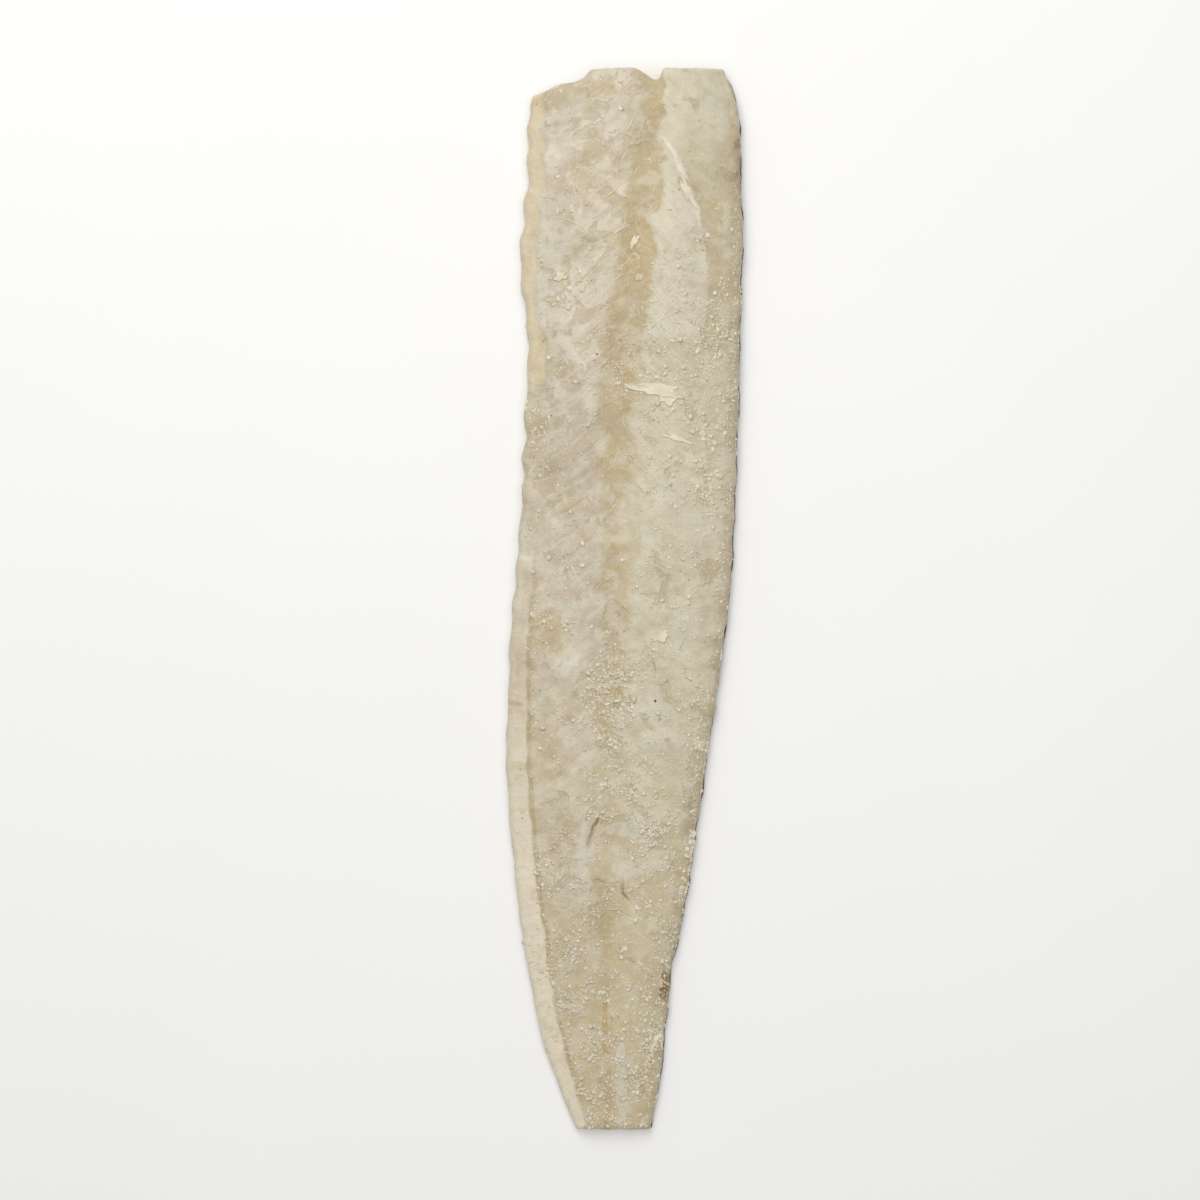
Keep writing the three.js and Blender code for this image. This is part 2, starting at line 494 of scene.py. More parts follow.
def mark_points(piece, name, values):
    """Stores one number for each point, for the materials to read by name."""
    layer = piece.data.attributes.new(name, "FLOAT", "POINT")
    layer.data.foreach_set("value", np.asarray(values, np.float32))


def grid_faces(rows, columns):
    """Quads between neighbouring points of a grid numbered row by row, facing up where x grows along a row
    and y from row to row."""
    first = (np.arange(rows - 1)[:, None] * columns + np.arange(columns - 1)[None, :]).ravel()
    return np.stack([first, first + 1, first + columns + 1, first + columns], axis=1)


def border_of(number):
    """The numbers round a grid: up its left side, along its end, down its right side and back."""
    return np.concatenate([number[:-1, 0], number[-1, :-1], number[:0:-1, -1], number[0, :0:-1]])


def joined_rims(border, count):
    """Quads that join a sheet's border to that of its other side, whose points are numbered count later."""
    following = np.roll(border, -1)
    return np.stack([border, border + count, following + count, following], axis=1)


def shoulder_at(across):
    """How far the shoulder cut falls short at each share across the width, with a slightly torn edge."""
    short = np.maximum(0, curve(across, SHOULDER_CUT[:, 0], SHOULDER_CUT[:, 1]))
    return short + 0.5 * (1 + rough(across * WIDTH, 0 * across, 9, 17)) * eased(across, 1.0, 0.6)


def block_place(across, along, inset_side, inset_end):
    """Where a point of the block lies in plan: the length between the cuts and the width between the edges,
    each drawn in by its inset, are shared out by along and across."""
    shoulder = LENGTH - shoulder_at(across)
    y = mixed(inset_end, shoulder - inset_end, along) - LENGTH / 2
    left, _, right = edges_at(y)
    x = mixed(left + inset_side, right - inset_side, across)
    return x, y


def build_flesh(material):
    """The flesh as a block: a fine grid on top that carries the relief, the wall round it and the flat
    underside."""
    rows, columns = FLESH_ALONG + 1, FLESH_ACROSS + 1
    along, across = np.meshgrid(np.linspace(0, 1, rows), np.linspace(0, 1, columns), indexing="ij")
    x, y = block_place(across.ravel(), along.ravel(), RIM_ROUND, RIM_ROUND)
    lie = regions(x, y)
    relief, marks, way = flesh_relief(x, y, lie)
    top = np.stack([x, y, smooth_height(x, y, lie) + relief], axis=1)

    ring = border_of(np.arange(rows * columns).reshape(rows, columns))
    walls = flesh_walls(across.ravel()[ring], along.ravel()[ring], top[ring, 2])
    loops = [ring] + [rows * columns + len(ring) * n + np.arange(len(ring)) for n in range(len(walls))]
    wall_faces = [
        np.stack([upper, np.roll(upper, -1), np.roll(lower, -1), lower], axis=1)
        for upper, lower in zip(loops, loops[1:])
    ]
    faces = [grid_faces(rows, columns)] + wall_faces + underside_faces(loops[-1], rows, columns)
    piece = make_piece("cured_flesh", np.concatenate([top] + walls), faces, material)
    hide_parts("cod_fillet")
    carry_marks(piece, x, y, lie, marks, ring, len(walls))
    layer = piece.data.attributes.new("fibre_way", "FLOAT_VECTOR", "POINT")
    all_ways = np.concatenate([way] + [way[ring]] * len(walls))
    layer.data.foreach_set("vector", all_ways.astype(np.float32).ravel())


def wall_profile():
    """The wall's rows from the top down. Each is its turn on the quarter ellipse in degrees, its height as a
    share, and how far it is drawn in under the skin."""
    above = [(turn, WAIST + (1 - WAIST) * math.sin(math.radians(turn)), 0.0)
             for turn in np.linspace(90, 0, WALL_ROWS_ABOVE + 1)[1:]]
    below = [(turn, WAIST * (1 - math.sin(math.radians(turn))), UNDER_SKIN)
             for turn in np.linspace(0, 80, WALL_ROWS_BELOW + 1)[1:]]
    return above + below


def flesh_walls(across, along, top_height):
    """The wall's points below the ring round the top, row by row: a quarter ellipse out to the waist and in
    again below it, creased by noise along its length and height."""
    base = SKIN_THICKNESS * 0.7
    outward = np.where(across < 0.5, -1, 1) * ((across == 0) | (across == 1))
    endward = np.where(along < 0.5, -1, 1) * ((along == 0) | (along == 1))
    rows = []
    for turn, up, drawn_in in wall_profile():
        inset = RIM_ROUND * (1 - math.cos(math.radians(turn))) + drawn_in
        x, y = block_place(across, along, inset, drawn_in or inset)
        z = base + up * (top_height - base)
        crease = 0.45 * rough(x + y, z * 3, 4.5, 101, 3) * math.cos(math.radians(turn))
        rows.append(np.stack([x + outward * crease, y + 0.7 * endward * crease, z], axis=1))
    rows[-1][:, 2] = SKIN_THICKNESS * 0.5
    return rows


def underside_faces(bottom, rows, columns):
    """Faces under the flesh, from the numbers of the lowest wall row: strips from side to side, and at each
    end one face of many corners."""
    left_side = bottom[:rows]
    shoulder_side = bottom[rows - 1: rows - 1 + columns]
    right_side = bottom[rows + columns - 2: 2 * rows + columns - 2][::-1]
    tail_side = np.concatenate([bottom[2 * rows + columns - 3:], bottom[:1]])
    last = rows - 1 - END_ROWS
    strips = np.stack([
        left_side[1:last], left_side[2:last + 1], right_side[2:last + 1], right_side[1:last],
    ], axis=1)
    tail_face = [[left_side[0], left_side[1], right_side[1], *tail_side[:-1]]]
    shoulder_face = [[*left_side[last:-1], *shoulder_side, *right_side[last:-1][::-1]]]
    return [strips, tail_face, shoulder_face]


def carry_marks(piece, x, y, lie, marks, ring, wall_rows):
    """Stores the regions on the flesh's points. The wall rows take the marks of the edge above them."""
    def all_rows(values):
        return np.concatenate([values] + [values[ring]] * wall_rows)

    leaning = curve(y, *RUST_LEANING)
    edge_tan = eased(lie["from_right"] + 3 * rough(x, y, 9, 116, 4), 10, 0) * eased(y, -190, -100)
    edge_noise = lie["from_right"] + 2.5 * rough(x, y, 6, 125, 4)
    thinned = eased(y, 80, 40) * (0.1 + 0.6 * eased(rough(x, y, 16, 126, 4), -0.35, 0.45))
    layers = {
        "right_lobe": eased(lie["off_seam"] + 3 * rough(x, y, 18, 115, 3), -5, 9),
        "tailward": eased(y, 0, -225),
        "dull": patches_over(x, y, DULL_PATCHES, 16, 118),
        "tan": np.maximum(patches_over(x, y, TAN_PATCHES, 9, 117), edge_tan),
        # Painted shade along the right edge, where the side rounds down.
        "right_edge": eased(edge_noise, 8.0, 0.5) * eased(y, 215, 185),
        "bare_right": lie["bare_right"],
        "film_rim": np.maximum(lie["film_rim"], patches_over(x, y, LOOSE_FILM, 4, 127)),
        "strip": lie["strip"] * (1 - thinned),
        "rust": lie["strip"] * eased(rough(x, y * 0.7, 8, 111, 5) + leaning, 0.05, 0.6),
        "margin": lie["margin"],
        "band": lie["band"] * mixed(0.25, 1.0, eased(y, 0, -140)),
        "beside_band": lie["beside_band"] * (0.4 + 0.6 * eased(rough(x, y, 30, 120, 3), -0.3, 0.3)),
        "groove": lie["groove"],
        "peeling": marks["peeling"],
        "film": np.maximum.reduce([0.75 * marks["lining"], 0.6 * lie["right_film"], marks["rims"]]),
        "pale": patches_over(x, y, PALE_PATCHES, 6, 119),
        "flake_lines": marks["flake_lines"],
        "salt_crust": marks["salt_crust"],
        "nick": marks["nick"],
        "stain": patches_over(x, y, STAINS, 2.4, 114),
        "dried_blood": blood_lines(x, y),
    }
    for name, values in layers.items():
        mark_points(piece, name, all_rows(values))
    # Painted shade: the walls take a middling proud value, so they come out a little darker than the top.
    proud = np.concatenate([marks["proud"]] + [0.45 + 0 * marks["proud"][ring]] * wall_rows)
    mark_points(piece, "proud", proud)


def blood_lines(x, y):
    """Lines of dried blood along the seam: how close each place is to one, bent a little by noise."""
    cover = np.zeros(x.shape)
    for points, half_width in BLOOD_LINES:
        far, _ = beside_line(x + 0.8 * rough(x, y, 6, 151, 3), y, points)
        cover = np.maximum(cover, eased(far, half_width * 1.7, half_width * 0.4))
    return cover


def patches_over(x, y, patches, size, seed):
    """Soft-centred patches with torn outlines: each is an ellipse whose edge noise of a given size bends."""
    cover = np.zeros(x.shape)
    torn = rough(x, y, size, seed, 5)
    for centre_x, centre_y, half_width, half_length, most in patches:
        far = np.hypot((x - centre_x) / half_width, (y - centre_y) / half_length)
        cover = np.maximum(cover, most * eased(far + 0.55 * torn, 1.05, 0.75))
    return cover


# How much likelier rust-coloured patches are at each y along the seam.
RUST_LEANING = [-225, -175, -120, -40, 60, 120, 225], [0.35, 0.25, -0.2, 0.0, 0.05, 0.15, 0.15]

# Patches of other colours on the flesh: x, y, half width, half length, how strong.
STAINS = [
    (17.2, -160, 1.3, 8.0, 1.0),
    (16.3, -167, 1.9, 3.8, 1.0),
    (20.0, -146, 1.0, 4.0, 0.8),
    (46.8, 178, 1.2, 15, 0.45),
    (27.5, -84, 1.2, 6.0, 0.4),
]
BLOOD_LINES = [
    # points along it, half its width
    ([(-7.6, -163), (-8.6, -186), (-6.6, -201), (-7.4, -225)], 1.1),
    ([(7.4, -198), (6.6, -211)], 1.1),
    ([(-1.0, -22), (-2.6, -40)], 1.4),
]
TAN_PATCHES = [
    (35, -10, 5.5, 26, 0.6),
    (38, 72, 5, 22, 0.4),
    (-32, -14, 8, 13, 0.9),
    (-32, -62, 6, 24, 0.8),
    (-27, -105, 5, 16, 0.5),
    (-24, 200, 8, 4, 0.5),
    (-8, 215, 14, 4.5, 0.8),
    (-8, 193, 9, 7, 0.45),
    (-4, 176, 9, 8, 0.5),
    (34, 166, 5, 3.2, 0.8),
    (40, 150, 6, 16, 0.5),
    (36, 122, 7, 12, 0.4),
    (-37, 66, 4, 22, 0.6),
    (6, 12, 7, 10, 0.3),
    (18, -38, 9, 8, 0.35),
    (-4, -96, 8, 9, 0.5),
    (-6, -128, 9, 9, 0.4),
    (14, -124, 9, 7, 0.35),
    (10, -160, 10, 12, 0.3),
    (4, 90, 6, 20, 0.6),
    (4, 42, 5, 30, 0.6),
    (7, -24, 4, 14, 0.5),
    (1, -108, 5, 9, 0.4),
]
DULL_PATCHES = [
    (-24, 72, 15, 30, 0.8),
    (-12, 112, 10, 16, 0.5),
    (-22, 148, 10, 10, 0.3),
    (-22, 20, 10, 9, 0.35),
    (-12, -20, 8, 18, 0.5),
    (-2, -204, 9, 20, 0.5),
]
LOOSE_FILM = [
    (12.0, 88.8, 10.5, 2.3, 1.0),
    (19.0, 85.0, 4.5, 2.0, 1.0),
    (-27.0, 136.0, 2.6, 1.6, 0.6),
    (-31.0, 206.0, 4.0, 1.2, 0.6),
    (32.0, -61.5, 3.0, 2.0, 0.8),
    (30.0, 50.0, 3.0, 3.0, 0.5),
    (27.5, 60.0, 2.0, 3.0, 0.6),
]
PALE_PATCHES = [
    (-37, 140, 5.5, 42, 0.9),
    (-24, 158, 7, 8, 0.6),
    (-18, -112, 5.5, 11, 0.8),
    (2, -114, 8, 4, 0.8),
    (8, -95, 9, 7, 0.9),
    (14, -52, 9, 11, 0.7),
    (13, -112, 6, 4, 0.7),
    (-2, 199, 9, 8, 0.6),
    (-27, 206, 9, 8, 0.5),
    (26, -20, 10, 22, 0.45),
    (22, 118, 10, 14, 0.5),
    (20, 40, 9, 18, 0.4),
    (-3, -54, 8, 8, 0.5),
    (-1.2, -206, 2.6, 22, 0.85),
    (-16, -72, 9, 12, 0.35),
    (-28, 146, 6, 32, 0.6),
]


def skin_side(inner):
    """One side of the skin, the outer (0) or the inner (1): flat under the flesh, it climbs each side of the
    fillet as a quarter ellipse to a torn edge near the waist. Noise wrinkles it and frays its edge."""
    share = np.linspace(0, 1, SKIN_ACROSS + 1)
    turn = np.clip(np.maximum(SKIN_CURL - share, share - 1 + SKIN_CURL) / SKIN_CURL, 0, 1) * math.pi / 2
    flat = np.clip((share - SKIN_CURL) / (1 - 2 * SKIN_CURL), 0, 1)
    across, run = np.broadcast_arrays(flat, np.linspace(0, 1, SKIN_ALONG + 1)[:, None])
    # It stops 0.6 mm short of the tail cut and 2 mm short of the shoulder cut.
    y = 0.6 + run * (LENGTH - shoulder_at(across) - 2.6) - LENGTH / 2
    left, _, right = edges_at(y)
    proud = 0.05 + 0.30 * (share > 0.5) + 0.35 * noise(y, share * 90 + 0 * y, 4, 121)
    inset = RIM_ROUND * (1 - np.sin(turn)) - proud * np.sin(turn) + inner * SKIN_THICKNESS * np.sin(turn)
    x = mixed(left + inset, right - inset, across)
    station = np.clip(y / LENGTH + 0.5, 0, 1)
    rim = mixed(TAIL_RIM, SHOULDER_RIM, np.sin(station * math.pi / 2))
    torn = WAIST + 0.10 * rough(y, share * 60 + 0 * y, 8, 122, 3)
    z = 0.05 + rim * torn * (1 - np.cos(turn)) + inner * SKIN_THICKNESS * np.cos(turn)
    wrinkle = 0.12 * rough(x, y, 7, 123, 3) * np.cos(turn)
    return np.stack([x, y, z + np.maximum(wrinkle, 0)], axis=-1).reshape(-1, 3)


def build_skin(material):
    """The skin as a shallow tray under the flesh: an outer and an inner side, joined round their borders."""
    rows, columns = SKIN_ALONG + 1, SKIN_ACROSS + 1
    count = rows * columns
    sheet = grid_faces(rows, columns)
    rim = joined_rims(border_of(np.arange(count).reshape(rows, columns)), count)
    points = np.concatenate([skin_side(0), skin_side(1)])
    piece = make_piece("cod_skin", points, [sheet[:, ::-1], sheet + count, rim], material)
    lie = regions(points[:, 0], points[:, 1])
    mark_points(piece, "back", np.clip(lie["from_left"] / (lie["right"] - lie["left"]), 0, 1))
    mark_points(piece, "side_line", eased(np.abs(lie["off_seam"] - 6), 2.2, 0.3))


# ---------------------------------------------------------------- salt and scraps that lie on the flesh

def turned(count, draw):
    """Random turns: a rotation matrix for each of count grains, from unit quaternions."""
    q = draw.normal(size=(count, 4))
    w, i, j, k = (q / np.linalg.norm(q, axis=1, keepdims=True)).T
    return np.stack([
        np.stack([1 - 2 * (j * j + k * k), 2 * (i * j - k * w), 2 * (i * k + j * w)], axis=1),
        np.stack([2 * (i * j + k * w), 1 - 2 * (i * i + k * k), 2 * (j * k - i * w)], axis=1),
        np.stack([2 * (i * k - j * w), 2 * (j * k + i * w), 1 - 2 * (i * i + j * j)], axis=1),
    ], axis=1)


def worn_cube():
    """A salt crystal's blank: a cube with two squares to an edge, its points drawn towards a ball by
    dividing each by its length in the fourth-power sense."""
    steps = np.array([-1.0, 0.0, 1.0])
    points = np.array([place for place in itertools.product(steps, repeat=3) if any(place)])
    faces = []
    for axis in range(3):
        for side in (-1, 1):
            one, two = (axis + 1) % 3, (axis + 2) % 3
            for a in (-1, 0):
                for b in (-1, 0):
                    corners = [(a, b), (a + 1, b), (a + 1, b + 1), (a, b + 1)][::side]
                    faces.append([blank_corner(points, axis, side, one, two, corner) for corner in corners])
    return points / (np.abs(points) ** 4).sum(axis=1, keepdims=True) ** 0.25, np.array(faces)


def blank_corner(points, axis, side, one, two, corner):
    """The number of the blank's point on a side of the cube, at a corner of one of its squares."""
    want = np.zeros(3)
    want[axis], want[one], want[two] = side, corner[0], corner[1]
    return int(np.flatnonzero((points == want).all(axis=1))[0])


def crumb_blank():
    """A fine crystal's blank: the regular solid of twelve points and twenty triangles."""
    golden = (1 + math.sqrt(5)) / 2
    points = np.array([
        (-1, golden, 0), (1, golden, 0), (-1, -golden, 0), (1, -golden, 0),
        (0, -1, golden), (0, 1, golden), (0, -1, -golden), (0, 1, -golden),
        (golden, 0, -1), (golden, 0, 1), (-golden, 0, -1), (-golden, 0, 1),
    ]) / math.hypot(1, golden)
    faces = np.array([
        (0, 11, 5), (0, 5, 1), (0, 1, 7), (0, 7, 10), (0, 10, 11), (1, 5, 9), (5, 11, 4), (11, 10, 2),
        (10, 7, 6), (7, 1, 8), (3, 9, 4), (3, 4, 2), (3, 2, 6), (3, 6, 8), (3, 8, 9), (4, 9, 5),
        (2, 4, 11), (6, 2, 10), (8, 6, 7), (9, 8, 1),
    ])
    return points, faces


def strew(count, draw, heaping):
    """Places where grains came to rest: even draws over the outline, kept where a further draw falls under
    the salt's thickness raised to the heaping power."""
    tries = count * 14
    y = draw.uniform(-LENGTH / 2 + 1, LENGTH / 2 - 3, tries)
    left, _, right = edges_at(y)
    x = left + (right - left) * draw.uniform(0.0, 1.0, tries)
    cover = salt_cover(x, y, regions(x, y))
    inside = y < LENGTH / 2 - shoulder_at((x - left) / (right - left)) - 1.5
    kept = np.flatnonzero((draw.uniform(0, 1, tries) < cover ** heaping) & inside)[:count]
    return x[kept], y[kept]


def drawn_sizes(draw, count, middle, spread, least, most):
    """Sizes in millimetres: a lognormal draw about the middle one, kept between the least and the most."""
    return np.clip(draw.lognormal(math.log(middle), spread, count), least, most)


SALT_CLUSTERS = [
    # x, y, spread across, spread along, how many crystals, their width
    (-21.0, 131.0, 3.6, 3.4, 8, 2.6),
    (-23.0, 165.0, 3.0, 1.5, 2, 2.4),
    (5.3, 135.8, 0.6, 0.6, 1, 2.6),
    (-37.0, 78.0, 3.2, 6.0, 16, 1.4),
    (35.0, 57.0, 4.5, 12.0, 26, 1.9),
    (42.0, -23.0, 1.2, 2.0, 5, 1.9),
    (32.0, -61.6, 2.4, 1.8, 12, 1.9),
    (29.5, -104.0, 1.8, 6.0, 26, 2.0),
    (28.0, -119.0, 1.6, 6.0, 18, 1.9),
    (13.5, -188.0, 3.0, 4.0, 24, 1.7),
    (-10.0, -59.0, 3.0, 6.0, 7, 1.3),
    (-3.0, -44.0, 3.5, 6.0, 7, 1.4),
    (-4.0, -74.0, 3.5, 8.0, 10, 1.5),
    (-13.0, -165.0, 2.0, 1.2, 4, 1.8),
    (-33.8, -9.0, 0.1, 0.1, 1, 2.6),
    (-17.4, 23.4, 0.4, 0.4, 2, 1.6),
    (-0.5, 16.8, 0.5, 0.5, 2, 1.7),
    (44.0, 14.0, 1.0, 14.0, 12, 1.5),
    (41.0, -28.0, 1.0, 14.0, 14, 1.5),
    (33.5, -76.0, 1.0, 13.0, 14, 1.5),
    (48.5, 150.0, 0.6, 30.0, 12, 1.2),
]


SKIN_FLECKS = [
    # x, y, width
    (12.9, -42.5, 1.1), (-11.7, 103.2, 0.7), (-30.8, 77.7, 0.7), (-42.0, 154.5, 0.9), (-14.0, 134.0, 0.5),
    (-12.0, 129.5, 0.6), (19.0, -155.0, 0.8), (11.5, -196.0, 0.8), (31.0, -88.0, 0.7), (34.0, -70.0, 0.6),
    (8.5, -207.0, 0.6), (44.0, 32.0, 0.6),
]


def in_clusters(draw):
    """Crystals that stuck together: each cluster's are spread about its middle by a normal draw."""
    rows = np.repeat(np.array(SALT_CLUSTERS), [row[4] for row in SALT_CLUSTERS], axis=0)
    x = rows[:, 0] + rows[:, 2] * draw.normal(size=len(rows))
    y = np.clip(rows[:, 1] + rows[:, 3] * draw.normal(size=len(rows)), 8 - LENGTH / 2, LENGTH / 2 - 20)
    left, _, right = edges_at(y)
    width = rows[:, 5] * draw.uniform(0.65, 1.2, len(rows))
    return np.clip(x, left + 1, right - 1), y, width


def build_salt(name, blank, grains, draw, material, sunk, uneven, smooth=True):
    """Grains of salt or flecks at their places: each is the blank, stretched and turned at random, its
    points pushed in and out by the uneven share, flattened by a third and sunk into the flesh by a share of
    its size."""
    shape, faces = blank
    x, y, width = grains
    count = len(x)
    z = surface_height(x, y)
    stretch = width[:, None] / 2 * draw.uniform(0.7, 1.15, (count, 3))
    bumps = 1 + uneven * draw.uniform(-1, 1, (count, len(shape), 1))
    local = shape[None] * bumps * stretch[:, None, :]
    local = np.einsum("nij,nkj->nki", turned(count, draw), local) * np.array([1, 1, 0.66])
    centre = np.stack([x, y, z + 0.66 * width * (0.5 - sunk)], axis=1)
    points = (local + centre[:, None, :]).reshape(-1, 3)
    points[:, 2] = np.maximum(points[:, 2], 0.05)
    numbers = faces[None] + (np.arange(count) * len(shape))[:, None, None]
    return make_piece(name, points, [numbers.reshape(-1, faces.shape[1])], material, smooth)


SCRAP_RINGS = 7
SCRAP_SPOKES = 44
FIRST_SCRAP_SEED = 200


def scrap_points(centre, size, lean, lift, seed):
    """One torn scrap of membrane: rings about its middle, stretched along its lean, its outline cut in and
    out by waves of 3, 5 and 9 to the turn. It follows the flesh, its edge lifted a little, and is 0.25 mm
    thick."""
    rings, spokes = SCRAP_RINGS, SCRAP_SPOKES
    turn = np.linspace(0, 2 * math.pi, spokes, endpoint=False)
    draw = np.random.default_rng(seed)
    phases = draw.uniform(0, 2 * math.pi, 4)
    edge = 1 + 0.22 * np.sin(3 * turn + phases[0]) + 0.15 * np.sin(5 * turn + phases[1])
    edge = edge + 0.10 * np.sin(9 * turn + phases[2]) + 0.08 * draw.uniform(-1, 1, spokes)
    reach = np.linspace(1 / rings, 1, rings)[:, None] * edge[None, :]
    u, v = reach * np.cos(turn) * size[0] / 2, reach * np.sin(turn) * size[1] / 2
    x = centre[0] + u * math.cos(lean) - v * math.sin(lean)
    y = centre[1] + u * math.sin(lean) + v * math.cos(lean)
    x, y = np.append(x.ravel(), centre[0]), np.append(y.ravel(), centre[1])
    z = surface_height(x, y)
    share = np.append(np.repeat(np.linspace(1 / rings, 1, rings), spokes), 0)
    curl = lift * share ** 3 * (0.6 + 0.6 * noise(x, y, 3.5, seed))
    upper = np.stack([x, y, z + 0.35 + curl], axis=1)
    lower = np.stack([x, y, z + 0.10 + curl + 0.2 * share ** 6], axis=1)
    return upper, lower


def scrap_faces(rings, spokes):
    """Faces of one scrap: quads between rings and triangles at its middle above, the same turned over below,
    and a strip that joins the two edges."""
    count = rings * spokes + 1
    here = (np.arange(rings - 1)[:, None] * spokes + np.arange(spokes)[None, :]).ravel()
    beside = (np.arange(rings - 1)[:, None] * spokes + np.roll(np.arange(spokes), -1)[None, :]).ravel()
    sheet = np.stack([here, here + spokes, beside + spokes, beside], axis=1)
    spoke, following = np.arange(spokes), np.roll(np.arange(spokes), -1)
    fan = np.stack([spoke, following, np.full(spokes, count - 1)], axis=1)
    edge = joined_rims(spoke + (rings - 1) * spokes, count)
    return [sheet, fan, sheet[:, ::-1] + count, fan[:, ::-1] + count, edge]


SCRAPS = [
    # x, y, length, breadth, lean in degrees, how far its edge lifts
    (13.5, 88.3, 21.0, 5.2, -8, 0.35),
    (18.5, 84.6, 8.0, 4.6, 10, 0.30),
    (22.0, 68.0, 12.0, 2.2, -18, 0.15),
    (26.0, 172.0, 3.2, 13.0, 24, 0.30),
    (-27.0, 136.0, 5.0, 3.6, 20, 0.25),
    (4.0, 150.5, 2.6, 6.0, -30, 0.25),
    (15.0, -15.5, 7.0, 4.0, 15, 0.15),
    (32.0, -61.5, 6.0, 3.6, 20, 0.30),
]


def build_scraps(material):
    """All the torn scraps of membrane, as one piece."""
    points, faces, start = [], [], 0
    for number, (x, y, length, breadth, lean, lift) in enumerate(SCRAPS):
        size, turn = (length, breadth), math.radians(lean)
        upper, lower = scrap_points((x, y), size, turn, lift, FIRST_SCRAP_SEED + number)
        faces += [block + start for block in scrap_faces(SCRAP_RINGS, SCRAP_SPOKES)]
        points += [upper, lower]
        start += 2 * len(upper)
    return make_piece("torn_membrane", np.concatenate(points), faces, material)


THREADS = [
    # where it starts: x, y; its direction in degrees, its length, how far it bows and its width
    (-29.5, 161.0, -27, 16.5, 1.6, 1.0),
    (-24.0, 156.0, -34, 9.0, -0.9, 0.8),
    (-18.3, 147.0, -40, 7.5, -2.4, 0.8),
    (-12.7, 119.0, 50, 11.0, 0.8, 0.9),
    (-16.0, 112.0, 46, 9.0, -0.7, 0.7),
    (-7.0, 150.0, 38, 13.0, 1.2, 0.9),
    (-2.5, 139.5, 48, 8.0, -0.8, 0.8),
    (4.5, 156.0, -62, 7.0, 0.6, 0.9),
    (-14.0, 168.0, 28, 15.0, -1.5, 0.8),
    (-21.0, 177.0, 35, 8.0, 0.8, 0.7),
    (-2.0, 181.0, 64, 9.0, 0.7, 0.9),
    (0.5, 196.0, 70, 8.0, -0.6, 0.9),
    (-20.0, 208.0, 12, 13.0, 1.2, 0.8),
    (-33.5, 57.0, 34, 17.0, 0.9, 0.6),
    (-30.0, 38.0, 33, 19.0, -0.8, 0.6),
    (-22.0, 31.0, 36, 14.0, 0.7, 0.5),
    (-25.0, 66.0, 35, 12.0, 0.6, 0.5),
    (20.5, 76.0, -12, 11.0, 0.7, 0.8),
    (9.0, 118.0, -40, 7.0, 0.6, 0.7),
]


def thread_places(draw, count):
    """Those of THREADS and count more strewn by chance: seven in ten on the upper left lobe, rising towards
    the seam as the fibres do, and the rest on the right one, falling away from it."""
    y = draw.uniform(-60, 212, count)
    left, seam, right = edges_at(y)
    on_left = draw.uniform(0, 1, count) < 0.7
    reach = draw.uniform(0.03, 0.9, count)
    x = np.where(on_left, seam - reach * (seam - left - 9), seam + reach * (right - seam - 6))
    lean = np.where(on_left, 38, -34) + draw.normal(0, 24, count)
    length = drawn_sizes(draw, count, middle=4.0, spread=0.4, least=2, most=9)
    bow = length * draw.normal(0, 0.13, count)
    strewn = np.stack([x, y, lean, length, bow, draw.uniform(0.35, 0.75, count)], axis=1)
    return np.concatenate([np.array(THREADS, float), strewn])


STREWN_THREADS = 170


def build_threads(material):
    """Threads and folds of torn lining, as one piece. Each is a spindle along a bowed line: its section is
    an ellipse, 0.7 as high as wide, and its width grows from each tip as the root of a sine."""
    rings, spokes = 15, 6
    x0, y0, lean, length, bow, width = thread_places(np.random.default_rng(13), STREWN_THREADS).T[:, :, None]
    lean = np.radians(lean)
    share = np.linspace(0, 1, rings + 2)[None, :]
    aside = 4 * bow * share * (1 - share) + 0.25 * noise(length * share + 17 * x0, y0 + 0 * share, 2.0, 141)
    x = x0 + length * share * np.cos(lean) - aside * np.sin(lean)
    y = y0 + length * share * np.sin(lean) + aside * np.cos(lean)
    z = surface_height(x.ravel(), y.ravel()).reshape(x.shape)
    line = np.stack([x, y, z - 0.05 * width], axis=-1)
    turn = np.linspace(0, 2 * math.pi, spokes, endpoint=False)
    half = width / 2 * np.sqrt(np.clip(np.sin(math.pi * share), 0, 1))
    left_of_it = np.stack([-np.sin(lean), np.cos(lean), 0 * lean], axis=-1)
    ring = line[:, 1:-1, None] + half[:, 1:-1, None, None] * (
        np.cos(turn)[:, None] * left_of_it[:, :, None] + 0.7 * np.sin(turn)[:, None] * np.array([0, 0, 1.0]))
    points = np.concatenate([ring.reshape(len(x), -1, 3), line[:, :1], line[:, -1:]], axis=1)
    faces = [grid_round(rings, spokes)] + tip_fans(rings, spokes)
    starts = (np.arange(len(x)) * points.shape[1])[:, None, None]
    blocks = [(block[None] + starts).reshape(-1, block.shape[1]) for block in faces]
    return make_piece("membrane_threads", points.reshape(-1, 3), blocks, material)


def grid_round(rings, spokes):
    """Quads of a tube: each ring's points are numbered in turn, and the last spoke joins the first."""
    ring, spoke = np.meshgrid(np.arange(rings - 1) * spokes, np.arange(spokes), indexing="ij")
    following = (spoke + 1) % spokes
    quads = [ring + spoke, ring + following, ring + spokes + following, ring + spokes + spoke]
    return np.stack(quads, axis=-1).reshape(-1, 4)


def tip_fans(rings, spokes):
    """Triangles from a tube's first and last ring to its two tips, which are numbered after the rings."""
    spoke = np.arange(spokes)
    following = (spoke + 1) % spokes
    tip, last = rings * spokes + 0 * spoke, (rings - 1) * spokes
    return [np.stack([tip, following, spoke], axis=1),
            np.stack([tip + 1, last + spoke, last + following], axis=1)]


# ---------------------------------------------------------------- materials

